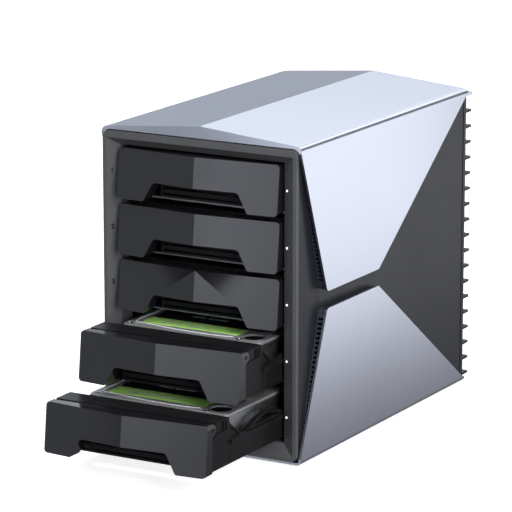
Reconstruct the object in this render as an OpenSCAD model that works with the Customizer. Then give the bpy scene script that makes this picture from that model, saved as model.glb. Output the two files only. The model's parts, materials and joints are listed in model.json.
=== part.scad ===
// Five-bay desktop enclosure for 3.5 inch hard drives: a folded aluminium shell, dark side panels, a funnel
// bezel, five sliding trays with hinged lever doors, a backplane and a rear fan behind horizontal fins.
// X is width, Y is depth (front at -Y), Z is height. Millimetres. The feet stand on Z = 0.
// The bottom two trays stand part of the way out.

/* [Enclosure] */
// Overall width across the silver side cheeks
body_w = 144; // [140:1:176]
// Depth of the shell from its front edge to its rear edge
body_d = 231; // [229:1:300]
// Rise of the roof ridge above the eaves
roof_rise = 6.3; // [3:0.1:14]
// Thickness of the aluminium shell
sheet_t = 1.6; // [1.2:0.1:2.2]
// Outer radius of the long top edges
eave_r = 4; // [3:0.5:6]
// Outer radius of the long bottom edges
base_r = 3; // [2.5:0.5:5]
// Height of the rubber feet
foot_h = 1.5; // [1.5:0.5:5]
// Radius of the rubber feet
foot_r = 9; // [6:1:11]
// Height of the open band between the upper and lower cheeks
waist_gap = 11; // [6:0.5:20]

/* [Bays] */
// Height of one bay, door and gap together
bay_pitch = 36; // [35:0.5:46]
// Gap between two closed doors
door_gap = 4.1; // [3.9:0.1:5]
// Space between the floor of the shell and the lowest door
foot_room = 14.1; // [13:0.1:20]
// Space between the top door and the eaves
head_room = 12; // [11:0.1:20]
// Gap between a door's end and the mouth of the bezel
door_side_gap = 1.4; // [1:0.1:2]
// How far tray 4 stands out
tray_4_out = 47; // [0:1:140]
// How far tray 5 stands out
tray_5_out = 87; // [20:1:140]

/* [Bezel] */
// How far the bezel's rim stands in front of the shell
rim_proud = 2.5; // [1:0.1:3]
// Width of the rim at the sides
rim_side = 2.4; // [1.6:0.1:4]
// Width of the rim at the top
rim_top = 4.1; // [2:0.1:4.3]
// Width of the rim at the bottom
rim_base = 2.8; // [2:0.1:5]
// Depth of the slanted funnel from the rim to the mouth
funnel_d = 4.2; // [3:0.1:6]
// Dark joint between the bezel and the shell
bezel_joint = 0.7; // [0.4:0.1:1.2]
// Width of the slanted funnel wall at the sides
funnel_side = 8.2; // [6:0.1:10]
// Radius of the status light pipes
pipe_r = 0.65; // [0.5:0.05:1.1]
// Distance of the light pipes from the mouth of the bezel
pipe_in = 2.7; // [1.5:0.1:5]

/* [Doors] */
// How far the middle crease stands in front of a door's ends
door_prow = 5.2; // [2:0.1:7]
// How far a door's bottom edge leans out in front of its top edge
door_lean = 3.6; // [0:0.1:5]
// Height of the finger notch
notch_h = 12.5; // [8:0.5:14]
// Width of the finger notch at the bottom edge
notch_w = 74; // [50:1:84]
// Radius of the door pins
pin_r = 1.25; // [1:0.05:1.4]

/* [Drives] */
// Width of a hard drive
drive_w = 101.6; // [100:0.1:103]
// Length of a hard drive
drive_l = 147; // [140:0.5:147]
// Height of a hard drive
drive_h = 26.1; // [19:0.1:26.5]

/* [Rear] */
// How far the rear fins stand behind the shell
fin_reach = 8; // [3:0.5:12]
// Thickness of a rear fin
fin_t = 1.8; // [1.2:0.1:3]
// Spacing of the rear fins
fin_pitch = 10.7; // [8:0.1:16]
// Side of the square fan
fan_size = 120; // [80:1:120]
// Thickness of the fan
fan_t = 25; // [15:1:25]
// Travel of the power button
button_travel = 1.5; // [1:0.1:2]

/* [Hidden] */
$fn = 48;
bays = 5;
eps = 0.01;
reach = 400;

// Side walls and the roof
half_w = body_w / 2;
side_h = foot_room + bays * bay_pitch - door_gap + head_room;
roof_angle = atan(roof_rise / half_w);
eave_line = sin(roof_angle) * half_w + cos(roof_angle) * side_h;
eave_x = half_w - eave_r;
eave_z = (eave_line - eave_r - sin(roof_angle) * eave_x) / cos(roof_angle);
inner_w = half_w - sheet_t;
fit = 0.1;

// Cheeks: the front edges lean back to the waist and the rear edges run out to the far corners
waist_z = 99.3 * side_h / 202;
waist_front = 34;
waist_rear = 103;
cheek_rear = body_d - 3.5;
upper_edge = waist_z + waist_gap / 2;
lower_edge = waist_z - waist_gap / 2;
eave_drop = 4;
cheek_r = 3;

// Dark side panels: the front facet turns in to a crease, the main panel runs out to the rear
panel_t = 2;
panel_y = 0.8;
panel_x = half_w - 2.5;
crease_y = 36.7;
crease_x = half_w - 7.4;
panel_rear = inner_w - 0.5;
panel_low = base_r;
panel_top = eave_z - 2;

// Vent frames that close the wedge between a side panel and its cheeks, with slots across the front walls
frame_in = 0.6;
frame_t = 1.4;
slot_pitch = 3.05;
slot_h = 1.5;
slot_through = 6;
slot_inner = 0.8;
slot_outer = 0.5;
slot_least = 0.5;
slot_from = panel_y + (crease_y - panel_y) * (slot_least + slot_inner + slot_outer - inner_w + panel_x)
    / (panel_x - crease_x);

// Bezel
bezel_half = inner_w - bezel_joint;
bezel_low = sheet_t + bezel_joint;
fascia_low = side_h - 1.5;
bezel_top = fascia_low - bezel_joint;
bezel_r = 4;
skirt_y = 14;
skirt_in = 4.7;
rim_half = bezel_half - rim_side;
rim_low = bezel_low + rim_base;
rim_high = bezel_top - rim_top;
mouth_half = rim_half - funnel_side;
mouth_clear = 1.2;
mouth_low = foot_room - mouth_clear;
mouth_high = foot_room + bays * bay_pitch - door_gap + mouth_clear;
mouth_y = funnel_d - rim_proud;
pipe_x = mouth_half + pipe_in;
pipe_y = mouth_y - pipe_in * funnel_d / funnel_side - 0.3;

// Doors
door_half = mouth_half - door_side_gap;
door_h = bay_pitch - door_gap;
door_front = 1.7;
door_back = 3.4;
door_r = 2.4;
notch_slant = 6.5;
notch_foot = 0.9;
axis_y = 3.6;
axis_drop = 4;
axis_z = door_h - axis_drop;
turn_gap = 0.35;
ear_t = 2.4;
lug_t = 2.6;
lug_r = 2.6;
lug_gap = 0.3;
lug_in = door_half - ear_t - lug_gap - lug_t;
pin_gap = 0.05;
door_nose = door_front + door_prow + door_lean * (1 - notch_h / door_h);

// Trays
tray_half = door_half - 0.7;
tray_low = 1.8;
tray_skin = 1.2;
block_y = axis_y + axis_drop + turn_gap + 0.25;
block_rear = 24.2;
block_top = door_h - 0.5;
step_z = axis_z - axis_drop - 0.9;
front_t = 1.7;
grille_half = notch_w / 2 - notch_slant + 0.5;
grille_low = 3.1;
grille_slot = 1.4;
grille_pitch = 4;
wall_t = 2.2;
grille_y = door_back + 0.6;
drive_y = 33;
drive_z = tray_low + tray_skin;
cover_t = 1.6;
lid_hole_x = 39.3;
lid_hole_in = 12.3;
lid_hole_r = 7;
socket_x = -19;
drive_gap = 0.4;
tray_rear = drive_y + drive_l - 2;
rail_h = 14.6;
runner_t = 2.4;
runner_out = 1.7;
slide_gap = 0.3;
seam_y = 25.2;
seam_w = 0.5;
rail_top = rail_h + runner_t;
v_foot = 39.4;
pocket_in = 1;
peg_z = drive_z + 6.35;
peg_r = 1.5;

// Cage
cage_t = 1.2;
cage_y = 16;
cage_in = mouth_half + 0.8;
guide_t = 1.2;
guide_in = tray_half + drive_gap;
board_t = 1.6;
board_y = drive_y + drive_l + 8;
cage_rear = board_y;
cage_low = sheet_t + fit;
cage_high = mouth_high + 1.5;
flange_w = 10;
screw_r = 1.5;

// Rear
rear_t = 3.4;
rear_y = body_d - rear_t;
rear_half = inner_w - fit;
rear_low = sheet_t + fit;
rear_high = eave_z - 1.5;
fin_low = 3.5;
fins = floor((rear_high - fin_low - 6) / fin_pitch) + 1;
fan_z = rear_low + 48 + fan_size / 2;
fan_y = rear_y - fan_t - 0.2;
fan_bore = fan_size / 2 - 2;
port_half = 48;
lock_x = 58;
lock_z = 22;
port_low = 9;
port_high = 36;
jack_x = 30;
usb_x = 6;
button_x = -24;
button_z = 21;
button_r = 5.8;
control_z = 9;
jack_z = control_z + board_t + 5.5;
control_front = board_y + board_t + 2;
usb_z = control_z + board_t + 1.65;
port_fit = 0.15;
button_back = rear_y - 3;
guard_r = fan_size / 2 - 4;
guard_rim = 3.5;
guard_t = 1.2;
fan_screw_r = 1.9;
hub_r = 20;
rotor_gap = 0.8;
shaft_r = 2;

// The whole part is centred front to back over its origin with trays 4 and 5 standing out
front_y = -(body_d + fin_reach - tray_5_out - door_nose) / 2;
outs = [0, 0, 0, tray_4_out, tray_5_out];

// Extrudes a front view, drawn as X and Z, from one Y to another
module along_y(y0, y1) {
    translate([0, y1, 0]) rotate([90, 0, 0]) linear_extrude(y1 - y0) children();
}

// Extrudes a side view, drawn as Y and Z, from one X to another
module along_x(x0, x1) {
    translate([x0, 0, 0]) rotate([90, 0, 90]) linear_extrude(x1 - x0) children();
}

// Extrudes a plan view from one Z to another
module along_z(z0, z1) {
    translate([0, 0, z0]) linear_extrude(z1 - z0) children();
}

// A block from its lowest to its highest corner
module block(low, high) {
    translate(low) cube(high - low);
}

// A round bar along Y
module bar_y(x, z, r, y0, y1) {
    translate([x, y1, z]) rotate([90, 0, 0]) cylinder(r = r, h = y1 - y0);
}

// A round bar along X
module bar_x(y, z, r, x0, x1) {
    translate([x0, y, z]) rotate([0, 90, 0]) cylinder(r = r, h = x1 - x0);
}

// The same piece on both sides
module both_sides() {
    children();
    mirror([1, 0, 0]) children();
}

// Places case pieces, drawn from the shell's front edge and floor
module in_case() {
    translate([0, front_y, foot_h]) children();
}

// Places the pieces of tray n, drawn from the shell's front edge and the door's bottom edge
module in_bay(n) {
    translate([0, front_y - outs[n - 1], foot_h + bay_z(n)]) children();
}

function bay_z(n) = foot_room + (bays - n) * bay_pitch;
function unit(v) = v / norm(v);
function flat(p) = [p[0], p[1]];
function turn(a) = a > 180 ? a - 360 : (a < -180 ? a + 360 : a);
function angle_of(v) = atan2(v[1], v[0]);

// The arc of radius r that rounds corner b between a and c
function fillet(a, b, c, r) =
    r == 0 ? [b] :
    let (u = unit(a - b), v = unit(c - b), half = acos(u * v) / 2)
    let (mid = b + unit(u + v) * r / sin(half))
    let (from = angle_of(b + u * r / tan(half) - mid))
    let (sweep = turn(angle_of(b + v * r / tan(half) - mid) - from))
    [for (i = [0:6]) mid + r * [cos(from + sweep * i / 6), sin(from + sweep * i / 6)]];

// An outline from corners given as [x, y, radius]
function outline(p) =
    [for (i = [0:len(p) - 1])
        each fillet(flat(p[(i + len(p) - 1) % len(p)]), flat(p[i]), flat(p[(i + 1) % len(p)]), p[i][2])];

// A rectangle's outline from its lower left and upper right corners, rounded at all four
function rounded(low, high, r) = outline([
    [low[0], low[1], r], [high[0], low[1], r], [high[0], high[1], r], [low[0], high[1], r]
]);

// ---- Shell ----

// Front view of the roof and walls, moved in by inset all round
module roof_view(inset) {
    half = half_w - inset;
    slope = [eave_x, eave_z] + (eave_r - inset) * [sin(roof_angle), cos(roof_angle)];
    ridge = (eave_line - inset) / cos(roof_angle);
    polygon([
        [-half, 0], [half, 0], [half, eave_z], slope, [0, ridge], [-slope[0], slope[1]], [-half, eave_z]
    ]);
    for (side = [-1, 1]) translate([side * eave_x, eave_z]) circle(r = eave_r - inset);
}

module upper_side_view() {
    low = side_h - eave_drop;
    polygon(outline([
        [0, reach, 0], [body_d, reach, 0], [body_d, low, 0], [cheek_rear, low, 0],
        [waist_rear, upper_edge, cheek_r], [waist_front, upper_edge, cheek_r], [0, low, 0]
    ]));
}

module lower_side_view() {
    low = base_r + 1;
    polygon(outline([
        [0, -1, 0], [body_d, -1, 0], [body_d, low - 1, 0], [cheek_rear, low, 0],
        [waist_rear, lower_edge, cheek_r], [waist_front, lower_edge, cheek_r], [0, low, 0]
    ]));
}

module top_shell() {
    lip_z = rear_high + 0.2;
    lip_half = half_w - 1;
    joint_r = bezel_r + bezel_joint;
    color("#c9cfdd") in_case() {
        intersection() {
            along_y(0, body_d) difference() {
                roof_view(0);
                roof_view(sheet_t);
            }
            along_x(-half_w, half_w) upper_side_view();
        }
        intersection() {
            along_y(0, sheet_t) difference() {
                roof_view(sheet_t - eps);
                bezel_view(-bezel_joint, joint_r);
            }
            block([-half_w, 0, fascia_low - joint_r * 0.7], [half_w, sheet_t, reach]);
        }
        intersection() {
            along_y(rear_y + fit, body_d) roof_view(sheet_t - eps);
            block([-half_w, rear_y, lip_z], [half_w, body_d, reach]);
        }
        block([-lip_half, rear_y + fit, lip_z], [lip_half, body_d + fin_reach, lip_z + fin_t]);
    }
}

module base_view(inset) {
    low = inset;
    half = half_w - inset;
    round_r = base_r - inset;
    polygon(outline([[-half, low, round_r], [half, low, round_r], [half, waist_z, 0], [-half, waist_z, 0]]));
}

module bottom_shell() {
    color("#b4bac8") in_case() difference() {
        intersection() {
            along_y(0, body_d) difference() {
                base_view(0);
                base_view(sheet_t);
            }
            along_x(-half_w, half_w) lower_side_view();
        }
        cage_screw_places() translate([0, 0, -1]) cylinder(r = screw_r, h = 8);
    }
}

// ---- Side panels and the vents beside them ----

function panel_outside() = [[panel_x, panel_y], [crease_x, crease_y], [panel_rear, rear_y - fit]];

module side_panel() {
    outside = panel_outside();
    inside = [for (i = [2, 1, 0]) outside[i] - [panel_t, 0]];
    along_z(panel_low, panel_top) polygon(concat(outside, inside));
}

module side_panel_left() {
    color("#3f4145") in_case() mirror([1, 0, 0]) side_panel();
}

module side_panel_right() {
    color("#3f4145") in_case() side_panel();
}

// The wedge between the right side panel and the cheek outside it, narrowed by a gap on each side
module wedge(panel_gap, cheek_gap) {
    near = [for (p = panel_outside()) p + [panel_gap, 0]];
    intersection() {
        along_z(0, side_h) polygon(concat(near, [[reach, rear_y - fit], [reach, panel_y]]));
        block([0, 0, 0], [inner_w - cheek_gap, body_d, side_h]);
    }
}

// A cheek's corners, front to rear, moved in by d and rounded
// toward is 1 on an upper cheek and -1 on a lower one
function inset_cheek(c, toward, d) = [
    [c[0][0] + d, c[0][1], 0],
    [c[1][0] + d, c[1][1] + toward * d, cheek_r - d],
    [c[2][0] - d, c[2][1] + toward * d, cheek_r - d],
    [c[3][0] - 2 * d, c[3][1], 0]
];

// Slots across the front wall of a vent frame, from the first place where the wedge is deep enough for one
module vent_slots(from, to) {
    steps = norm(to - from) / slot_pitch;
    shallow = (slot_from - from[0]) / (to[0] - from[0]);
    for (i = [ceil(shallow * steps) : floor(steps) - 2])
        along_x(0, half_w) translate(from + unit(to - from) * slot_pitch * i)
            rotate(angle_of(to - from)) square([slot_h, slot_through], center = true);
}

// A dark frame that closes the wedge just inside a cheek's front, waist and rear edges
module vent_frame(cheek, toward) {
    outside = inset_cheek(cheek, toward, frame_in);
    inside = inset_cheek(cheek, toward, frame_in + frame_t);
    difference() {
        intersection() {
            along_x(0, half_w) polygon(outline(concat(outside, [for (i = [3, 2, 1, 0]) inside[i]])));
            wedge(fit, fit);
        }
        intersection() {
            vent_slots(flat(outside[0]), flat(outside[1]));
            wedge(slot_inner, slot_outer);
        }
    }
}

module vent_frames() {
    front = panel_y;
    high = side_h - eave_drop;
    low = base_r + 1;
    vent_frame([[front, high], [waist_front, upper_edge], [waist_rear, upper_edge], [cheek_rear, high]], 1);
    vent_frame([[front, low], [waist_front, lower_edge], [waist_rear, lower_edge], [cheek_rear, low]], -1);
}

module vent_frames_left() {
    color("#2b2e3a") in_case() mirror([1, 0, 0]) vent_frames();
}

module vent_frames_right() {
    color("#2b2e3a") in_case() vent_frames();
}

// ---- Front bezel and status lights ----

// Front view of the bezel, moved in by inset
module bezel_view(inset, round_r) {
    half = bezel_half - inset;
    low = bezel_low + inset;
    high = bezel_top - inset;
    polygon(rounded([-half, low], [half, high], round_r));
}

// The funnel from the rim back to the mouth, which runs on a little in front of the rim
module funnel_space() {
    front = -rim_proud - 1;
    low = rim_low - (mouth_low - rim_low) / funnel_d;
    high = rim_high + (rim_high - mouth_high) / funnel_d;
    half = rim_half + funnel_side / funnel_d;
    intersection() {
        along_x(-half, half)
            polygon([[front, low], [mouth_y, mouth_low], [mouth_y, mouth_high], [front, high]]);
        along_z(0, side_h)
            polygon([[-half, front], [half, front], [mouth_half, mouth_y], [-mouth_half, mouth_y]]);
    }
}

module pipes() {
    for (n = [1:bays]) bar_y(pipe_x, bay_z(n) + door_h / 2, pipe_r, pipe_y, skirt_y);
}

module front_bezel() {
    color("#4c4e52") in_case() difference() {
        union() {
            along_y(-rim_proud, panel_y - 0.2) bezel_view(0, bezel_r);
            along_y(0, skirt_y) bezel_view(skirt_in, 1);
        }
        funnel_space();
        block([-mouth_half, -rim_proud, mouth_low], [mouth_half, skirt_y + 1, mouth_high]);
        pipes();
    }
}

module light_pipes() {
    color("#f4f6ff") in_case() pipes();
}

module light_board() {
    low = bay_z(bays) + 6;
    high = bay_z(1) + door_h - 4;
    color("#1f5a3a") in_case()
        block([mouth_half + 0.7, skirt_y, low], [bezel_half - skirt_in - 0.3, skirt_y + 1.2, high]);
}

// ---- Drive cage ----

module cage_screw_places() {
    for (side = [-1, 1]) for (y = [40, 110, 170]) translate([side * (cage_in - 5), y, 0]) children();
}

module board_screw_places() {
    for (side = [-1, 1]) for (z = [24, (cage_low + cage_high) / 2, cage_high - 16])
        translate([side * (cage_in - 4), 0, z]) children();
}

module cage_side() {
    outer = cage_in + cage_t;
    rear_flange = 8;
    difference() {
        union() {
            block([cage_in, cage_y, cage_low], [outer, cage_rear, cage_high]);
            block([cage_in - flange_w, cage_y, cage_low], [outer, cage_rear, cage_low + cage_t]);
            block([cage_in - flange_w, cage_y, cage_high - cage_t], [outer, cage_rear, cage_high]);
            block([cage_in - rear_flange, cage_rear - cage_t, cage_low], [outer, cage_rear, cage_high]);
        }
        for (n = [1:bays]) for (y = [cage_y + 24 : 36 : cage_rear - 40])
            block([cage_in - 1, y, bay_z(n) + 21], [outer + 1, y + 24, bay_z(n) + 29]);
        cage_screw_places() translate([0, 0, -1]) cylinder(r = screw_r, h = 8);
        board_screw_places() bar_y(0, 0, screw_r, cage_rear - 5, cage_rear + 1);
    }
}

module cage_left() {
    color("#8f959d") in_case() mirror([1, 0, 0]) cage_side();
}

module cage_right() {
    color("#8f959d") in_case() cage_side();
}

// Plates across the cage: one between each pair of trays and two on top
module cage_crossbars() {
    color("#7d838b") in_case() {
        for (n = [1:bays - 1])
            block([-cage_in, cage_y + 1, bay_z(n) - 2.7], [cage_in, cage_y + 17, bay_z(n) - 2.7 + cage_t]);
        for (y = [cage_y + 2, cage_rear - 26])
            block([-cage_in, y, cage_high], [cage_in, y + 22, cage_high + cage_t]);
    }
}

// The pairs of guides that a tray's runners slide between, on the right side
module guides() {
    for (n = [1:bays]) for (low = [rail_h - slide_gap - guide_t, rail_h + runner_t + slide_gap])
        block([guide_in, cage_y + 2, bay_z(n) + low], [cage_in, cage_rear - 2, bay_z(n) + low + guide_t]);
}

module guide_rails_left() {
    color("#2a2b2e") in_case() mirror([1, 0, 0]) guides();
}

module guide_rails_right() {
    color("#2a2b2e") in_case() guides();
}

// Screws that hold the top plates to the cage
module cage_screws() {
    color("#b9bdc4") in_case() both_sides() for (y = [cage_y + 13, cage_rear - 15])
        translate([cage_in - 5, y, cage_high + cage_t]) cylinder(r = 2.6, h = 1.6);
}

// ---- Backplane and electronics ----

module backplane_board() {
    half = cage_in - 1.5;
    color("#1f5a3a") in_case() difference() {
        block([-half, board_y, 10], [half, board_y + board_t, cage_high - 6]);
        board_screw_places() bar_y(0, 0, screw_r, board_y - 1, board_y + 4);
        for (n = [1:bays]) for (x = [-40 : 16 : 40]) bar_y(x, bay_z(n) + 23, 5, board_y - 1, board_y + 4);
    }
}

module drive_sockets() {
    color("#202124") in_case() for (n = [1:bays]) translate([socket_x, 0, bay_z(n) + drive_z]) {
        block([-24, board_y - 7, 0.6], [24, board_y, 9]);
        block([-20.4, board_y - 13, 2.1], [20.4, board_y - 7, 7.4]);
    }
}

module backplane_screws() {
    color("#b9bdc4") in_case() board_screw_places() {
        bar_y(0, 0, screw_r, cage_rear - 3, board_y + board_t);
        bar_y(0, 0, 2.8, board_y + board_t, board_y + board_t + 1.6);
    }
}

module control_board() {
    half = 50;
    post = 6;
    post_x = 38;
    link_half = 16;
    top = control_z + board_t;
    color("#1f5a3a") in_case() {
        block([-half, control_front, control_z], [half, rear_y - 0.4, top]);
        for (x = [-post_x, post_x]) for (y = [control_front + 4, rear_y - 12])
            block([x - post / 2, y, sheet_t], [x + post / 2, y + post, control_z]);
        block([-link_half, board_y + board_t, top], [link_half, control_front + 6, top + 8]);
    }
}

module chip_heat_sink() {
    x = -4;
    y = control_front + 17;
    z = control_z + board_t;
    color("#9aa0a8") in_case() {
        block([x - 9, y - 9, z], [x + 9, y + 9, z + 3]);
        for (i = [0:5]) block([x - 9 + i * 3.4, y - 9, z + 3], [x - 8 + i * 3.4, y + 9, z + 9]);
    }
}

// ---- Rear ----

module rear_view() {
    round_r = base_r - sheet_t - fit;
    polygon(outline([
        [-rear_half, rear_low, round_r], [rear_half, rear_low, round_r],
        [rear_half, rear_high, 1], [-rear_half, rear_high, 1]
    ]));
}

module jack_view(grow) {
    square([9 + 2 * grow, 11 + 2 * grow], center = true);
}

module usb_view(grow) {
    half = [4.5 + grow, 1.65 + grow];
    polygon(rounded(-half, half, 1.6 + grow));
}

module lock_slot() {
    translate([-lock_x, 0, lock_z]) block([-3.5, rear_y - 1, -1.6], [3.5, body_d + 1, 1.6]);
}

module rear_panel() {
    color("#222326") in_case() difference() {
        along_y(rear_y, body_d) rear_view();
        bar_y(0, fan_z, guard_r, rear_y - 1, body_d + 1);
        bar_y(0, fan_z, guard_r + guard_rim, rear_y - 1, rear_y + guard_t);
        along_y(rear_y - 1, body_d + 1) translate([jack_x, jack_z]) jack_view(port_fit);
        along_y(rear_y - 1, body_d + 1) translate([usb_x, usb_z]) usb_view(port_fit);
        bar_y(button_x, button_z, button_r + 0.2, rear_y - 1, body_d + 1);
        fan_screw_places() bar_y(0, 0, fan_screw_r + pin_gap, rear_y - 1, rear_y + 2.4);
        lock_slot();
    }
}

// Horizontal fins across the rear, which leave a bay for the ports
module rear_fins() {
    color("#1c1d20") in_case() difference() {
        for (i = [0:fins - 1]) translate([0, 0, fin_low + i * fin_pitch])
            block([-rear_half, body_d, 0], [rear_half, body_d + fin_reach, fin_t]);
        block([-port_half, body_d - 1, port_low], [port_half, body_d + fin_reach + 1, port_high]);
        block([-lock_x - 8, body_d - 1, port_low], [-port_half + 1, body_d + fin_reach + 1, port_high]);
    }
}

module fan_screw_places() {
    for (x = [-1, 1]) for (z = [-1, 1])
        translate([x * (fan_size / 2 - 7.5), 0, fan_z + z * (fan_size / 2 - 7.5)]) children();
}

module fan_frame() {
    half = fan_size / 2;
    rear = fan_y + fan_t;
    plate = 3;
    color("#1b1c1e") in_case() {
        difference() {
            block([-half, fan_y, fan_z - half], [half, rear, fan_z + half]);
            bar_y(0, fan_z, fan_bore, fan_y - 1, rear + 1);
            fan_screw_places() bar_y(0, 0, fan_screw_r + pin_gap, fan_y - 1, rear + 1);
        }
        difference() {
            union() {
                bar_y(0, fan_z, hub_r, rear - plate, rear);
                intersection() {
                    translate([0, 0, fan_z]) for (a = [45, 135]) rotate([0, a, 0])
                        block([-half, rear - plate, -3], [half, rear, 3]);
                    bar_y(0, fan_z, fan_bore + 0.5, rear - plate, rear);
                }
            }
            bar_y(0, fan_z, shaft_r + pin_gap, rear - plate - 1, rear + 1);
        }
    }
}

module fan_rotor() {
    plate = 3;
    rear = fan_y + fan_t - plate - rotor_gap;
    blades = 7;
    chord = fan_t * 0.8;
    color("#26272a") in_case() translate([0, 0, fan_z]) {
        bar_y(0, 0, hub_r - 0.5, fan_y + 2, rear);
        bar_y(0, 0, shaft_r, rear, fan_y + fan_t - 0.5);
        intersection() {
            for (i = [0:blades - 1]) rotate([0, i * 360 / blades, 0])
                translate([hub_r - 2, (fan_y + 2 + rear) / 2, 0]) rotate([42, 0, 0])
                    block([0, -chord / 2, -0.9], [fan_bore, chord / 2, 0.9]);
            bar_y(0, 0, fan_bore - 1, fan_y + 2, rear);
        }
    }
}

module fan_screws() {
    color("#b9bdc4") in_case() fan_screw_places() {
        bar_y(0, 0, fan_screw_r, fan_y, rear_y + 2.2);
        bar_y(0, 0, 3.6, fan_y - 1.8, fan_y);
    }
}

// A flat ring around the fan's axis, with its outer edge at r
module guard_ring(r, w) {
    difference() {
        bar_y(0, 0, r, rear_y, rear_y + guard_t);
        bar_y(0, 0, r - w, rear_y - 1, rear_y + guard_t + 1);
    }
}

module fan_guard() {
    color("#a9adb4") in_case() translate([0, 0, fan_z]) {
        guard_ring(guard_r + guard_rim, guard_rim);
        for (r = [12 : 11 : guard_r - 4]) guard_ring(r, guard_t);
        for (a = [0 : 45 : 135]) rotate([0, a, 0])
            block([-guard_r - 1, rear_y, -guard_t / 2], [guard_r + 1, rear_y + guard_t, guard_t / 2]);
    }
}

module usb_c_port() {
    color("#c3c7cd") in_case() translate([usb_x, 0, usb_z]) {
        difference() {
            along_y(rear_y - 5, body_d + 0.3) usb_view(0);
            along_y(rear_y - 4, body_d + 1) usb_view(-0.35);
        }
        block([-3.4, rear_y - 4.5, -0.35], [3.4, body_d - 0.6, 0.35]);
    }
}

module dc_jack() {
    color("#17181a") in_case() translate([jack_x, 0, jack_z]) {
        difference() {
            along_y(rear_y - 11, body_d + 0.5) jack_view(0);
            bar_y(0, 0, 3.2, rear_y - 7, body_d + 1);
        }
        bar_y(0, 0, 1.05, rear_y - 8, body_d - 1);
    }
}

module power_button() {
    color("#d5d8de") in_case() {
        bar_y(button_x, button_z, button_r, button_back, body_d + button_travel + 0.6);
        bar_y(button_x, button_z, button_r + 1.4, button_back - 1.4, button_back);
        bar_y(button_x, button_z, 1.5, button_back - 4, button_back - 1.4);
    }
}

module power_switch() {
    face = button_back - 4 - button_travel - 0.3;
    color("#17181a") in_case()
        block([button_x - 4, face - 6, control_z + board_t], [button_x + 4, face, button_z + 4]);
}

module rubber_feet() {
    color("#141414") in_case() for (x = [-1, 1]) for (y = [22, body_d - 22])
        translate([x * (half_w - 16), y, -foot_h]) cylinder(r = foot_r, h = foot_h);
}

module shell_screws() {
    color("#3a3c40") in_case() cage_screw_places() {
        translate([0, 0, -1.2]) cylinder(r = 2.8, h = 1.2);
        cylinder(r = screw_r, h = 4.4);
    }
}

// ---- Trays ----

module peg_places() {
    both_sides() for (y = [drive_y + 28.5, drive_y + drive_l - 17]) translate([0, y, 0]) children();
}

// Side view of a tray's outer wall: the front block, a V down to the rail, and an arched spring above it
module tray_side_view() {
    leaf_foot = 45.4;
    leaf_end = 98;
    difference() {
        polygon(outline([
            [grille_y, tray_low, 1], [grille_y, step_z, 0], [block_y, step_z, 0], [block_y, block_top, 0],
            [block_rear, block_top, 0.3], [seam_y, block_top - 3.8, 1], [v_foot, rail_top, 3],
            [leaf_foot, rail_top, 3], [leaf_foot + 12, rail_top + 5.2, 8],
            [leaf_foot + 23, rail_top + 7.6, 10], [leaf_foot + 39, rail_top + 4.8, 10],
            [leaf_end, rail_top, 6], [tray_rear, rail_top, 1], [tray_rear, tray_low, 1]
        ]));
        translate([leaf_foot, rail_top]) polygon(outline([
            [9, 1.6, 0.3], [15, 3.9, 4], [24, 5.5, 8], [37, 3, 5], [42, 1.6, 0.3]
        ]));
    }
}

// What is sunk into the outer face of a tray's wall: pockets, a triangle inside the V, and a seam
module tray_side_cuts() {
    face = tray_half - pocket_in;
    low = step_z + 1;
    high = block_top - 0.8;
    block([face, block_y + 0.8, low], [tray_half + 1, 18.4, high]);
    block([face, 19.6, low], [tray_half + 1, 21.6, high]);
    along_x(face, tray_half + 1) polygon([
        [seam_y + 1, rail_top + 1.2], [v_foot - 3, rail_top + 1.2], [seam_y + 1, block_top - 6]
    ]);
    block([tray_half - seam_w, seam_y, tray_low + 1], [tray_half + 1, seam_y + seam_w, rail_h]);
}

module tray_wall() {
    inner = tray_half - wall_t;
    cradle = drive_w / 2 + drive_gap;
    cradle_t = 1.6;
    ledge = 6;
    along_x(inner, tray_half) tray_side_view();
    block([tray_half - eps, seam_y, rail_h], [tray_half + runner_out, tray_rear, rail_top]);
    block([cradle, drive_y - 4, tray_low], [cradle + cradle_t, tray_rear, rail_h]);
    block([drive_w / 2 - ledge, block_rear - ledge, tray_low], [tray_half, tray_rear, drive_z]);
    bar_x(axis_y, axis_z, lug_r, lug_in, lug_in + lug_t);
    block([lug_in, axis_y, axis_z - lug_r], [lug_in + lug_t, block_y + 1, axis_z + lug_r]);
}

// Slots through a tray's front wall behind the finger notch, with an open end on each side
module tray_grille() {
    rear = grille_y + front_t + 1;
    slot_half = grille_half - 1.2;
    open_half = notch_w / 2 + 0.5;
    for (i = [0:2])
        block([-slot_half, 0, grille_low + i * grille_pitch],
            [slot_half, rear, grille_low + i * grille_pitch + grille_slot]);
    both_sides() block([grille_half, 0, grille_low - 0.7], [open_half, rear, grille_low + 6.4]);
}

module tray(n) {
    bar_w = 12;
    color("#232427") in_bay(n) {
        difference() {
            union() {
                both_sides() tray_wall();
                block([-tray_half, grille_y, tray_low], [tray_half, grille_y + front_t, step_z]);
                block([-tray_half, grille_y, step_z - front_t], [tray_half, block_y + front_t, step_z]);
                block([-tray_half, block_y, step_z - front_t], [tray_half, block_y + front_t, block_top]);
                block([-tray_half, block_y, block_top - tray_skin], [tray_half, block_rear, block_top]);
                block([-tray_half, grille_y, tray_low], [tray_half, drive_y - 4, drive_z]);
                for (y = [drive_y + 62, tray_rear - bar_w])
                    block([-tray_half, y, tray_low], [tray_half, y + bar_w, drive_z]);
            }
            tray_grille();
            both_sides() tray_side_cuts();
            both_sides() bar_x(axis_y, axis_z, pin_r, lug_in - 1, lug_in + lug_t + 1);
        }
        peg_places() bar_x(0, peg_z, peg_r, drive_w / 2 - 3, drive_w / 2 + drive_gap + 0.5);
    }
}

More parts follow.
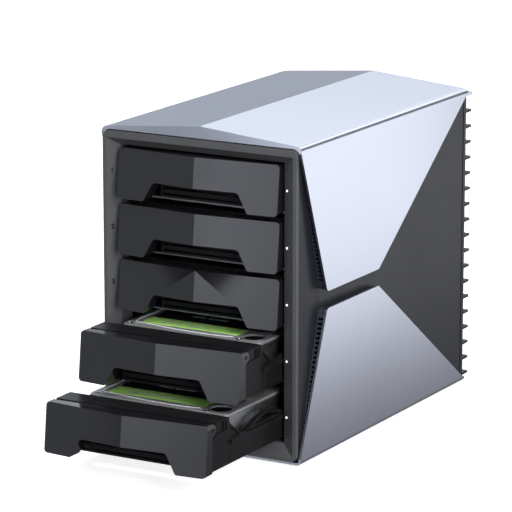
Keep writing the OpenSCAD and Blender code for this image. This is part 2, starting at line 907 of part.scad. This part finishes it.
// Everything behind one half of a door's front: a flat that leans out to its bottom edge and to the crease
module behind_front() {
    normal = [-door_prow / door_half, 1, -door_lean / door_h];
    axis = cross([0, 1, 0], normal);
    translate([0, -door_front - door_prow, door_h]) rotate(acos(unit(normal)[1]), axis)
        block([-reach, 0, -reach], [reach, reach, reach]);
}

// Side view of a door without its slanted front: a plate with a round back that turns about the pins
module door_side_view() {
    back = axis_y + axis_drop;
    round_r = axis_drop - eps;
    polygon(outline([
        [-30, 0, 0], [door_back, 0, 0], [door_back, axis_z - axis_drop, 0],
        [back, axis_z - axis_drop, round_r], [back, door_h, round_r], [-30, door_h, 0]
    ]));
}

module door(n) {
    lug_low = lug_in - lug_gap;
    lug_high = lug_in + lug_t + lug_gap;
    notch_half = notch_w / 2;
    color("#1d1e21") in_bay(n) difference() {
        intersection() {
            along_y(-30, 30) polygon(rounded([-door_half, 0], [door_half, door_h], door_r));
            along_x(-door_half, door_half) door_side_view();
            behind_front();
            mirror([1, 0, 0]) behind_front();
        }
        along_y(-30, 30) polygon(outline([
            [-notch_half - 2, -1, 0], [-notch_half, notch_foot, 1.5],
            [-notch_half + notch_slant, notch_h, 3], [notch_half - notch_slant, notch_h, 3],
            [notch_half, notch_foot, 1.5], [notch_half + 2, -1, 0]
        ]));
        block([-door_half + 7, -1, notch_h + 3], [door_half - 7, door_back + 1, axis_z - axis_drop - 1]);
        both_sides() {
            bar_x(axis_y, axis_z, lug_r + 0.4, lug_low, lug_high);
            block([lug_low, axis_y, axis_z - 10], [lug_high, axis_y + 10, axis_z + 10]);
            bar_x(axis_y, axis_z, pin_r + pin_gap, lug_low, door_half + 1);
        }
    }
}

module door_pins(n) {
    color("#9ba0a8") in_bay(n) both_sides() bar_x(axis_y, axis_z, pin_r, lug_in, door_half - 0.2);
}

module drive(n) {
    rear = drive_y + drive_l;
    half = drive_w / 2;
    corner_r = 3;
    socket_half = 21;
    color("#a6abb4") in_bay(n) difference() {
        along_z(drive_z, drive_z + drive_h - cover_t)
            polygon(rounded([-half, drive_y], [half, rear], corner_r));
        translate([socket_x, rear, drive_z]) block([-socket_half, -6, 1.5], [socket_half, 1, 8]);
        peg_places() bar_x(0, peg_z, peg_r + pin_gap, drive_w / 2 - 4, drive_w / 2 + 1);
    }
}

// The lid on top of a hard drive, with a round opening in one front corner
module drive_cover(n) {
    half = drive_w / 2 - 0.8;
    front = drive_y + 0.5;
    rear = drive_y + drive_l - 4;
    top = drive_z + drive_h;
    corner_r = 4;
    color("#b9bec7") in_bay(n) difference() {
        along_z(top - cover_t, top) polygon(rounded([-half, front], [half, rear], corner_r));
        translate([lid_hole_x, drive_y + lid_hole_in, top - cover_t - 1])
            cylinder(r = lid_hole_r, h = cover_t + 2);
    }
}

top_shell();
bottom_shell();
side_panel_left();
side_panel_right();
vent_frames_left();
vent_frames_right();
front_bezel();
light_pipes();
light_board();
cage_left();
cage_right();
cage_crossbars();
guide_rails_left();
guide_rails_right();
cage_screws();
backplane_board();
drive_sockets();
backplane_screws();
control_board();
chip_heat_sink();
rear_panel();
rear_fins();
fan_frame();
fan_rotor();
fan_screws();
fan_guard();
usb_c_port();
dc_jack();
power_button();
power_switch();
rubber_feet();
shell_screws();
for (n = [1:bays]) {
    tray(n);
    door(n);
    door_pins(n);
    drive(n);
    drive_cover(n);
}
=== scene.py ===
"""Looks of a five-bay hard drive enclosure: materials, fine detail, floor, light and camera."""

import json
import math

import bpy
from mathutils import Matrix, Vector


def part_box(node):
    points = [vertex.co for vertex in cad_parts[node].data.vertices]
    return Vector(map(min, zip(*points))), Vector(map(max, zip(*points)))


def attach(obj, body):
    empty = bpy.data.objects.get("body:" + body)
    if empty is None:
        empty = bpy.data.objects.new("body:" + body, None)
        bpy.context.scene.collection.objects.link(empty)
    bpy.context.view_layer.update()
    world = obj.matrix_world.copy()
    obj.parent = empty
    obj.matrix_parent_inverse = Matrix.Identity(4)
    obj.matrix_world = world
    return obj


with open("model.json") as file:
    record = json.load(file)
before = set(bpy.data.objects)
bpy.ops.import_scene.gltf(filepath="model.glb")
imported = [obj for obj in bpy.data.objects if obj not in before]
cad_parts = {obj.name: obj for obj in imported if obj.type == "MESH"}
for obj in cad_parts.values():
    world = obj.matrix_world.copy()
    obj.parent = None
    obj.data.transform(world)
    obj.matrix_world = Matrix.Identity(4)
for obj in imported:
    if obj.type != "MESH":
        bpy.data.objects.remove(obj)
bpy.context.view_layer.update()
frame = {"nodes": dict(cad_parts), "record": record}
NODES = frame["nodes"]
BAYS = range(1, 6)
MM = 0.001
MIDDLE = Vector((0, 0, 0.1))


# ---- Shared helpers ----

def add(name, data):
    obj = bpy.data.objects.new(name, data)
    bpy.context.scene.collection.objects.link(obj)
    return obj


def add_mesh(name, verts, faces, mat):
    mesh = bpy.data.meshes.new(name)
    mesh.from_pydata(verts, [], faces)
    mesh.materials.append(mat)
    return add(name, mesh)


def turned_to(way):
    """The rotation that points an object's own Z along a direction."""
    return Vector(way).to_track_quat("Z", "Y").to_euler()


def smooth_ramp(tree, value, start, end, low, high):
    """A smooth climb from low to high while the value goes from start to end."""
    ramp = tree.nodes.new("ShaderNodeMapRange")
    ramp.interpolation_type = "SMOOTHSTEP"
    for key, number in (("From Min", start), ("From Max", end), ("To Min", low), ("To Max", high)):
        ramp.inputs[key].default_value = number
    tree.links.new(value, ramp.inputs["Value"])
    return ramp.outputs["Result"]


# ---- Camera ----

def make_camera():
    """A long lens from the front right and a little above, aimed at the plane of the case's front."""
    azimuth = math.radians(29.72)
    elevation = math.radians(13.24)
    distance = 1.975
    aim_x = 0.040
    aim_z = 0.1322
    data = bpy.data.cameras.new("camera")
    data.sensor_width = 36
    data.lens = 224.9
    data.clip_start = 0.05
    data.clip_end = 100
    camera = add("camera", data)
    target = Vector((aim_x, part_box("bottom_shell")[0].y, aim_z))
    level = math.cos(elevation)
    away = Vector((math.sin(azimuth) * level, -math.cos(azimuth) * level, math.sin(elevation)))
    camera.location = target + away * distance
    camera.rotation_euler = turned_to(away)
    bpy.context.scene.camera = camera


# ---- Materials ----

class Look:
    """A procedural material: each method adds one layer to the same principled shader."""

    def __init__(self, name, base, metallic=0.0, specular=0.5, **sockets):
        self.name = name
        self.mat = bpy.data.materials.new(name)
        self.mat.use_nodes = True
        self.tree = self.mat.node_tree
        self.shader = self.tree.nodes["Principled BSDF"]
        self.base = base
        self.shader.inputs["Base Color"].default_value = (*base, 1)
        self.shader.inputs["Metallic"].default_value = metallic
        self.shader.inputs["Specular IOR Level"].default_value = specular
        for socket, value in sockets.items():
            self.shader.inputs[socket.replace("_", " ").title()].default_value = value
        self.mat.diffuse_color = (*base, 1)
        self.coords = self.tree.nodes.new("ShaderNodeTexCoord").outputs["Object"]

    def link(self, out, into):
        self.tree.links.new(out, into)

    def noise(self, scale, detail=3.0, stretch=(1, 1, 1)):
        """Noise in the piece's own space, finer along the axes with a larger stretch."""
        moved = self.tree.nodes.new("ShaderNodeMapping")
        moved.inputs["Scale"].default_value = stretch
        self.link(self.coords, moved.inputs["Vector"])
        made = self.tree.nodes.new("ShaderNodeTexNoise")
        made.inputs["Scale"].default_value = scale
        made.inputs["Detail"].default_value = detail
        made.inputs["Roughness"].default_value = 0.5
        self.link(moved.outputs["Vector"], made.inputs["Vector"])
        return made.outputs["Fac"]

    def span(self, value, low, high):
        """Noise, which keeps to the middle of its range, spread from low to high."""
        return smooth_ramp(self.tree, value, start=0.25, end=0.75, low=low, high=high)

    def tone(self, spread, scale, **noise):
        """Slow variation of the base colour, by a share of itself."""
        mix = self.tree.nodes.new("ShaderNodeMix")
        mix.data_type = "RGBA"
        dark = [c * (1 - spread) for c in self.base]
        light = [min(1, c * (1 + spread)) for c in self.base]
        mix.inputs["A"].default_value = (*dark, 1)
        mix.inputs["B"].default_value = (*light, 1)
        self.link(self.span(self.noise(scale, **noise), 0, 1), mix.inputs["Factor"])
        self.link(mix.outputs["Result"], self.shader.inputs["Base Color"])
        return self

    def rough(self, low, high, scale, **noise):
        self.link(self.span(self.noise(scale, **noise), low, high), self.shader.inputs["Roughness"])
        return self

    def bump(self, scale, depth, strength, **noise):
        """Fine unevenness, its depth in metres."""
        made = self.tree.nodes.new("ShaderNodeBump")
        made.inputs["Strength"].default_value = strength
        made.inputs["Distance"].default_value = depth
        self.link(self.noise(scale, **noise), made.inputs["Height"])
        self.link(made.outputs["Normal"], self.shader.inputs["Normal"])
        return self


def make_looks():
    """The material of each slot, and of the fine detail that needs one of its own, by name."""
    made = (
        # Case
        Look("silver_shell", (0.66, 0.69, 0.78), metallic=1.0)
            .tone(0.012, 12).rough(0.275, 0.295, 8, detail=1),
        Look("dark_panel", (0.019, 0.020, 0.025), specular=0.32)
            .tone(0.06, 20).rough(0.36, 0.42, 40).bump(1500, 0.00003, 0.08),
        Look("vent_black", (0.034, 0.037, 0.056))
            .tone(0.1, 60).rough(0.4, 0.5, 90).bump(1800, 0.00004, 0.2),
        Look("bezel_grey", (0.080, 0.082, 0.086), specular=0.4)
            .tone(0.05, 50).rough(0.42, 0.5, 120).bump(2200, 0.00004, 0.25, detail=2),
        Look("foot_rubber", (0.012, 0.012, 0.012))
            .tone(0.12, 300).rough(0.7, 0.85, 300).bump(2500, 0.00008, 0.5),
        Look("light_white", (0.9, 0.93, 1.0), emission_color=(0.86, 0.93, 1.0, 1), emission_strength=1.3)
            .tone(0.03, 600).rough(0.15, 0.25, 900).bump(1500, 0.00002, 0.2),
        # Trays and doors
        Look("gloss_black", (0.010, 0.010, 0.012))
            .tone(0.1, 30).rough(0.13, 0.16, 60).bump(220, 0.00001, 0.03),
        Look("tray_black", (0.0095, 0.0097, 0.0105), specular=0.12)
            .tone(0.1, 70).rough(0.3, 0.4, 160).bump(1400, 0.00003, 0.2),
        # Drives
        Look("drive_casting", (0.50, 0.51, 0.53), metallic=1.0)
            .tone(0.1, 120).rough(0.36, 0.5, 200).bump(1500, 0.00008, 0.5),
        Look("drive_lid", (0.36, 0.37, 0.38), metallic=0.5)
            .tone(0.05, 60).rough(0.26, 0.36, 300, stretch=(1, 12, 1))
            .bump(900, 0.00002, 0.25, stretch=(1, 14, 1)),
        # The ridges are pressed from the same lid but coloured far lighter than it: a painted highlight along
        # them.
        Look("ridge_painted_highlight", (0.8, 0.81, 0.83), metallic=0.25)
            .tone(0.05, 200).rough(0.2, 0.3, 300).bump(900, 0.00002, 0.1),
        Look("drive_label", (0.46, 0.84, 0.20), specular=0.3)
            .tone(0.12, 90).rough(0.4, 0.5, 200).bump(1200, 0.00002, 0.2),
        Look("label_dark", (0.010, 0.010, 0.011), specular=0.3)
            .tone(0.1, 90).rough(0.35, 0.45, 200).bump(1200, 0.00002, 0.2),
        Look("label_print", (0.5, 0.52, 0.5), specular=0.3)
            .tone(0.15, 400).rough(0.4, 0.5, 200).bump(1200, 0.00002, 0.2),
        # Near-black for the bay numbers' print, and also painted shade: flat discs standing in for the dark
        # down the holes in the drive lids and the vent walls.
        Look("print_black_and_hole_shade", (0.003, 0.003, 0.003), specular=0.1)
            .tone(0.1, 200).rough(0.6, 0.7, 200).bump(1200, 0.00002, 0.2),
        # Boards, cage and fixings
        Look("circuit_green", (0.012, 0.09, 0.035))
            .tone(0.25, 400).rough(0.3, 0.4, 300).bump(900, 0.00005, 0.4),
        Look("connector_black", (0.012, 0.012, 0.013))
            .tone(0.1, 200).rough(0.35, 0.45, 300).bump(2400, 0.00003, 0.3),
        Look("heat_sink", (0.38, 0.39, 0.41), metallic=1.0)
            .tone(0.06, 200).rough(0.36, 0.46, 400).bump(2000, 0.00003, 0.3, stretch=(1, 8, 1)),
        Look("sheet_steel", (0.42, 0.43, 0.45), metallic=1.0)
            .tone(0.12, 60, detail=5).rough(0.32, 0.48, 90).bump(1200, 0.00003, 0.2),
        Look("screw_steel", (0.5, 0.51, 0.53), metallic=1.0)
            .tone(0.1, 400).rough(0.22, 0.34, 500).bump(3000, 0.00002, 0.3),
        # Rear
        Look("fan_black", (0.014, 0.014, 0.016))
            .tone(0.08, 80).rough(0.38, 0.48, 200).bump(1600, 0.00004, 0.3),
        Look("guard_wire", (0.55, 0.56, 0.58), metallic=1.0)
            .tone(0.06, 300).rough(0.16, 0.24, 300).bump(1500, 0.00002, 0.2),
        Look("port_metal", (0.56, 0.57, 0.6), metallic=1.0)
            .tone(0.05, 500).rough(0.22, 0.3, 700).bump(2500, 0.00002, 0.2),
        Look("button_metal", (0.55, 0.57, 0.61), metallic=1.0)
            .tone(0.04, 200).rough(0.26, 0.34, 500).bump(1500, 0.00002, 0.25),
    )
    return {look.name: look for look in made}


# ---- Carried-over CAD nodes ----

def soften(obj, width=0.0003, seam=0.000002, corner=35):
    """Small rounds on a CAD node's edges, so that they catch the light as moulded or folded edges do."""
    weld = obj.modifiers.new("weld", "WELD")
    weld.merge_threshold = seam
    bevel = obj.modifiers.new("bevel", "BEVEL")
    bevel.width = width
    bevel.segments = 2
    bevel.limit_method = "ANGLE"
    bevel.angle_limit = math.radians(corner)
    bevel.harden_normals = False
    bevel.use_clamp_overlap = True
    normals = obj.modifiers.new("normals", "WEIGHTED_NORMAL")
    normals.keep_sharp = True


def dress_nodes(looks):
    for subpart in frame["record"]["subparts"]:
        obj = NODES[subpart["node"]]
        obj.data.materials.clear()
        obj.data.materials.append(looks[subpart["material_slot"]].mat)


# ---- Fine detail the CAD leaves out ----

def piece(name, body, shape, look):
    """A shape's vertices and faces as a named piece that rides on a body."""
    obj = add_mesh(name, *shape, look.mat)
    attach(obj, body)


def lathe(centre, profile, sides=28):
    """A turned shape standing on +Z, from (radius, height) pairs in mm, closed across its last ring."""
    verts, faces = [], []
    for radius, height in profile:
        for k in range(sides):
            turn = 2 * math.pi * k / sides
            rim = Vector((radius * MM * math.cos(turn), radius * MM * math.sin(turn), height * MM))
            verts.append(centre + rim)
    for ring in range(len(profile) - 1):
        for k in range(sides):
            low, high = ring * sides, (ring + 1) * sides
            faces.append((low + k, low + (k + 1) % sides, high + (k + 1) % sides, high + k))
    faces.append([(len(profile) - 1) * sides + k for k in range(sides)])
    return verts, faces


def slab(low, high, z, thick, corner, steps=5):
    """A flat sheet with rounded corners and an open underside, from its lower and upper corners in plan."""
    rim = []
    for turn, x, y in ((180, low[0] + corner, low[1] + corner), (270, high[0] - corner, low[1] + corner),
                       (0, high[0] - corner, high[1] - corner), (90, low[0] + corner, high[1] - corner)):
        for k in range(steps + 1):
            angle = math.radians(turn + 90 * k / steps)
            rim.append((x + corner * math.cos(angle), y + corner * math.sin(angle)))
    count = len(rim)
    verts = [Vector((x, y, z)) for x, y in rim] + [Vector((x, y, z + thick)) for x, y in rim]
    faces = [(k, (k + 1) % count, count + (k + 1) % count, count + k) for k in range(count)]
    faces.append(list(range(count, 2 * count)))
    return verts, faces


def together(shapes):
    verts, faces = [], []
    for part_verts, part_faces in shapes:
        faces += [[index + len(verts) for index in face] for face in part_faces]
        verts += part_verts
    return verts, faces


def bead(path, z, width, height, sides=6):
    """A low rounded ridge along a path in plan, pressed up out of a flat lid."""
    verts, faces = [], []
    for k, here in enumerate(path):
        along = (Vector(path[min(k + 1, len(path) - 1)]) - Vector(path[max(k - 1, 0)])).normalized()
        side = Vector((-along.y, along.x))
        for j in range(sides + 1):
            turn = math.pi * j / sides
            flat = Vector(here) + side * width / 2 * math.cos(turn)
            verts.append(Vector((flat.x, flat.y, z + height * math.sin(turn))))
    for k in range(len(path) - 1):
        for j in range(sides):
            low, high = k * (sides + 1) + j, (k + 1) * (sides + 1) + j
            faces.append((low, high, high + 1, low + 1))
    return verts, faces


def between(p, q, r, u, t):
    """The value a share t of the way from q to r on a smooth curve through p, q, r and u."""
    return 0.5 * (2 * q + (r - p) * t + (2 * p - 5 * q + 4 * r - u) * t * t
                  + (3 * q - p - 3 * r + u) * t ** 3)


def curve_through(points, steps=8):
    """A smooth path through points in plan."""
    ends = [points[0]] + points + [points[-1]]
    path = []
    for a, b, c, d in zip(ends, ends[1:], ends[2:], ends[3:]):
        for k in range(steps):
            t = k / steps
            path.append(tuple(between(*four, t) for four in zip(a, b, c, d)))
    return path + [points[-1]]


# On a drive's lid, in mm from the middle of its front edge
SCREW_HEAD = ((2.3, 0), (2.3, 0.25), (2.0, 0.45), (1.2, 0.45), (1.0, 0.1))
SCREW_X = 46
FRONT_SCREWS = ((-SCREW_X, 3.6), (34, 3.2))
REAR_SCREW_IN = 4
RIDGES = (
    ((-44, 9), (-34, 8.2), (-18, 5.6), (0, 4.2), (17, 4.4), (28, 6.4)),
    ((-44, 9), (-46.5, 14), (-46.5, 40), (-46.5, 90)),
)
RIDGE_WIDTH, RIDGE_HEIGHT = 1.1, 0.3
# A near-black disc low in the lid's round opening: painted shade standing in for the dark down the hole.
HOLE_SHADE_AT = (39.3, 11.8)
HOLE_SHADE_DISC = ((6.9, 0.02), (6.9, 0.5), (6.2, 0.3))
BAND_FROM, BAND_TO, BAND_CORNER = (-41.7, 9.8), (28.4, 24.5), 1.2
LABEL_FROM, LABEL_TO, LABEL_CORNER = (-41.7, 25.3), (40, 112), 1.5
LABEL_THICK = 0.08
# Rows of plain bars in place of print, each as its first bar's x, then y, height and the bars' widths
BARS = (
    (-30, 14, 2.2, (9, 5, 12, 4)),
    (-30, 19.5, 1.1, (6, 8, 3, 9, 5)),
    (-20, 36, 3.0, (10, 14)),
    (-20, 43, 1.0, (8, 5, 11, 6, 9)),
    (-20, 47, 1.0, (12, 7, 4, 10)),
    (-20, 58, 1.0, (5, 9, 9, 12)),
)
BAR_GAP, BAR_THICK, BAR_CORNER = 2, 0.02, 0.3


def dress_drive(bay, looks):
    """What lies on a drive's lid: screws, embossed ridges, a near-black disc low in the round opening as
    painted shade down the hole, and two labels.

    The record has no slot for labels: the band, the bars and the dark label have looks of their own.
    """
    body = f"tray_{bay}"
    low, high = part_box(f"drive_cover_{bay}")
    top = high.z
    rear = (high.y - low.y) / MM

    def at(x, y):
        return Vector((x * MM, low.y + y * MM, top))

    def sheet(start, end, corner, thick=LABEL_THICK, lift=0, steps=5):
        return slab(at(*start).xy, at(*end).xy, top + lift * MM, thick * MM, corner * MM, steps)

    screws = list(FRONT_SCREWS)
    for y in (rear / 2, rear - REAR_SCREW_IN):
        screws += [(-SCREW_X, y), (SCREW_X, y)]
    ridges = []
    for route in RIDGES:
        path = curve_through([at(x, y).xy[:] for x, y in route])
        ridges.append(bead(path, top, RIDGE_WIDTH * MM, RIDGE_HEIGHT * MM))
    hole = at(*HOLE_SHADE_AT)
    hole.z = low.z
    bars = []
    for x, y, tall, widths in BARS:
        for width in widths:
            bar = sheet((x, y), (x + width, y + tall), BAR_CORNER, thick=BAR_THICK, lift=LABEL_THICK, steps=2)
            bars.append(bar)
            x += width + BAR_GAP

    heads = together(lathe(at(*spot), SCREW_HEAD) for spot in screws)
    piece(f"lid_screws_{bay}", body, heads, looks["screw_steel"])
    # Lighter colour than the lid: painted highlight on the ridges.
    piece(f"lid_ridges_{bay}", body, together(ridges), looks["ridge_painted_highlight"])
    # The disc is painted shade for the dark down the lid's round opening.
    piece(f"hole_shade_disc_{bay}", body, lathe(hole, HOLE_SHADE_DISC), looks["print_black_and_hole_shade"])
    band = sheet(BAND_FROM, BAND_TO, BAND_CORNER)
    piece(f"label_band_{bay}", body, band, looks["drive_label"])
    label = sheet(LABEL_FROM, LABEL_TO, LABEL_CORNER)
    piece(f"label_dark_{bay}", body, label, looks["label_dark"])
    piece(f"label_marks_{bay}", body, together(bars), looks["label_print"])


def number_bays(looks):
    """A number per bay on the left wall of the bezel's funnel."""
    rim_side = 2.4 * MM
    funnel_side = 8.2 * MM
    funnel_deep = 4.2 * MM
    share = 0.42
    lift = 0.05 * MM
    front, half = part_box("front_bezel")[0].y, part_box("front_bezel")[1].x
    rim = Vector((-(half - rim_side), front))
    mouth = Vector((rim.x + funnel_side, front + funnel_deep))
    along = mouth - rim
    facing = Vector((along.y, -along.x, 0)).normalized()
    spot = rim + along * share
    for bay in BAYS:
        low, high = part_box(f"door_{bay}")
        text = bpy.data.curves.new(f"bay_number_{bay}", "FONT")
        text.body = str(bay)
        text.size = 4.2 * MM
        text.offset = 0.12 * MM
        text.extrude = 0.03 * MM
        text.align_x = "CENTER"
        text.align_y = "CENTER"
        text.materials.append(looks["print_black_and_hole_shade"].mat)
        obj = add(f"bay_number_{bay}", text)
        obj.location = Vector((spot.x, spot.y, (low.z + high.z) / 2)) + facing * lift
        obj.rotation_euler = turned_to(facing)
        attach(obj, "case")


def perforate(side, looks):
    """Flat dark discs for the fine holes in a vent frame's waist walls, in rows between panel and cheek:
    painted shade standing in for the dark inside each hole.
    """
    radius, corners, lift = 0.36 * MM, 8, 0.02 * MM
    across, along, stagger = 1.15 * MM, 1.4 * MM, 0.7 * MM
    inner_edge, outer_edge, wall_in = 0.7 * MM, 0.8 * MM, 0.6 * MM
    start, end = 39 * MM, 100 * MM
    # Behind its crease the side panel leans outwards, and the rows get shorter
    crease = 36.7 * MM
    rise = 5.3 / 190.8
    name = "right" if side > 0 else "left"
    low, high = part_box(f"vent_frames_{name}")
    deep = min(abs(low.x), abs(high.x))
    outer = max(abs(low.x), abs(high.x))
    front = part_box("bottom_shell")[0].y
    lower_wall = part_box("bottom_shell")[1].z - wall_in
    upper_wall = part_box("top_shell")[0].z + wall_in
    discs = []
    for level, up in ((lower_wall, 1), (upper_wall, -1)):
        face = list(range(corners))[::up]
        y = start
        while y < end:
            inner = deep + (y - crease) * rise + inner_edge
            rows = int((outer - outer_edge - inner) / across)
            for row in range(rows + 1):
                x = side * (inner + row * across)
                ring = []
                for k in range(corners):
                    turn = 2 * math.pi * k / corners
                    ring.append(Vector((x + radius * math.cos(turn),
                                        front + y + (row % 2) * stagger + radius * math.sin(turn),
                                        level + up * lift)))
                discs.append((ring, [face]))
            y += along
    # The dark discs are painted shade for the holes.
    piece(f"perforation_shade_discs_{name}", "case", together(discs), looks["print_black_and_hole_shade"])


# ---- Studio ----

def emitter(name, colour, strength, fades=()):
    """A card's light: even, or fading along its own axes, each fade as (axis, from, to, share at from)."""
    mat = bpy.data.materials.new(name)
    mat.use_nodes = True
    tree = mat.node_tree
    tree.nodes.clear()
    surface = tree.nodes.new("ShaderNodeOutputMaterial")
    glow = tree.nodes.new("ShaderNodeEmission")
    glow.inputs["Color"].default_value = (*colour, 1)
    glow.inputs["Strength"].default_value = strength
    tree.links.new(glow.outputs["Emission"], surface.inputs["Surface"])
    place = tree.nodes.new("ShaderNodeTexCoord")
    split = tree.nodes.new("ShaderNodeSeparateXYZ")
    tree.links.new(place.outputs["Object"], split.inputs["Vector"])
    total = None
    for axis, start, end, share in fades:
        full = 1 if total else strength
        fade = smooth_ramp(tree, split.outputs[axis], start, end, full * share, full)
        if total:
            product = tree.nodes.new("ShaderNodeMath")
            product.operation = "MULTIPLY"
            tree.links.new(total, product.inputs[0])
            tree.links.new(fade, product.inputs[1])
            fade = product.outputs["Value"]
        total = fade
    if total:
        tree.links.new(total, glow.inputs["Strength"])
    return mat


def plane(name, centre, size, facing, mat):
    half_x, half_y = size[0] / 2, size[1] / 2
    corners = [(-half_x, -half_y, 0), (half_x, -half_y, 0), (half_x, half_y, 0), (-half_x, half_y, 0)]
    obj = add_mesh(name, corners, [(0, 1, 2, 3)], mat)
    obj.location = centre
    obj.rotation_euler = turned_to(facing)
    return obj


def card(name, centre, size, facing, strength, colour=(1, 1, 1), fades=()):
    """A light card that only shows in reflections."""
    obj = plane(name, centre, size, facing, emitter(name, colour, strength, fades))
    obj.visible_camera = False
    obj.visible_diffuse = False
    obj.visible_shadow = False


def far_card(name, direction, size, strength, colour=(1, 1, 1), distance=6.0):
    """A card seen from the object in a direction, with its size in degrees."""
    way = Vector(direction).normalized()
    spread = [2 * distance * math.tan(math.radians(angle) / 2) for angle in size]
    card(name, MIDDLE + way * distance, spread, -way, strength, colour)


def area_light(name, centre, aim, size, power):
    data = bpy.data.lights.new(name, "AREA")
    data.shape = "RECTANGLE"
    data.size, data.size_y = size
    data.energy = power
    obj = add(name, data)
    obj.location = centre
    obj.rotation_euler = turned_to(Vector(centre) - Vector(aim))
    return obj


def make_floor(side=60):
    """A glowing white floor that takes the object's shadow, left out of reflections and bounced light."""
    mat = bpy.data.materials.new("floor")
    mat.use_nodes = True
    shader = mat.node_tree.nodes["Principled BSDF"]
    shader.inputs["Base Color"].default_value = (0.8, 0.8, 0.8, 1)
    shader.inputs["Roughness"].default_value = 1.0
    shader.inputs["Specular IOR Level"].default_value = 0.0
    shader.inputs["Emission Color"].default_value = (1, 1, 1, 1)
    shader.inputs["Emission Strength"].default_value = 0.8
    floor = plane("floor", (0, 0, 0), (side, side), (0, 0, 1), mat)
    floor.visible_glossy = False
    floor.visible_diffuse = False


def make_backdrop(radius=12.0, base=-1.0, height=12.0, sides=64):
    """A round white wall that only the camera sees, in front of the floor's far edge."""
    turns = [2 * math.pi * k / sides for k in range(sides)]
    rim = [(radius * math.cos(turn), radius * math.sin(turn)) for turn in turns]
    verts = [(x, y, base) for x, y in rim] + [(x, y, height) for x, y in rim]
    faces = [(k, (k + 1) % sides, sides + (k + 1) % sides, sides + k) for k in range(sides)]
    wall = add_mesh("backdrop", verts, faces, emitter("backdrop", (1, 1, 1), 1.0))
    wall.visible_glossy = False
    wall.visible_diffuse = False
    wall.visible_shadow = False


def make_cards():
    """Cards that the shell, the bezel and the glossy doors mirror."""
    cool = (0.9, 0.94, 1.0)
    far_card("card_roof_right", (-0.435, 0.846, 0.42), (34, 17), 1.75, cool)
    far_card("card_roof_left", (-0.514, 0.846, 0.09), (34, 13), 0.2, (0.76, 0.86, 1.0))
    far_card("card_bead", (0.12, 0.846, 0.5), (22, 13), 2.2)
    far_card("card_left_half", (-0.72, -0.69, -0.02), (30, 50), 0.7, cool)
    card("card_front", (-0.37, -0.75, -0.1), (0.2, 0.5), (0.482, 0.846, 0), 0.5, cool,
         fades=[("Y", 0.1, -0.14, 0.0)])
    card("card_doors", (-0.168, -0.75, 0.12), (0.2, 0.5), (0.30, 0.95, 0), 3.0, (0.88, 0.91, 1.0),
         fades=[("Y", -0.2, 0.03, 0.5), ("X", -0.03, 0.04, 0.66)])
    card("card_cheek", (0.272, 0.36, 0), (0.5, 0.5), (-1, 0, 0), 1.42, (0.95, 0.96, 1.0),
         fades=[("Y", -0.12, 0.045, 0.14)])


def make_studio():
    scene = bpy.context.scene
    scene.view_settings.view_transform = "Standard"
    world = bpy.data.worlds.new("studio")
    scene.world = world
    world.use_nodes = True
    sky = world.node_tree.nodes["Background"]
    sky.inputs["Color"].default_value = (0.93, 0.95, 1.0, 1)
    sky.inputs["Strength"].default_value = 0.17
    make_floor()
    make_backdrop()
    make_cards()
    area_light("key", (2.1, -1.3, 1.7), MIDDLE, (1.2, 1.2), 45)
    top = area_light("top", (-0.15, -0.6, 2.3), (0, -0.1, 0.1), (1.2, 1.2), 40)
    top.visible_glossy = False
    fill = area_light("fill", (2.0, -1.5, 0.5), MIDDLE, (1.2, 1.0), 42)
    fill.visible_glossy = False


make_camera()
looks = make_looks()
dress_nodes(looks)
for obj in NODES.values():
    soften(obj)
for bay in BAYS:
    dress_drive(bay, looks)
number_bays(looks)
for side in (-1, 1):
    perforate(side, looks)
make_studio()
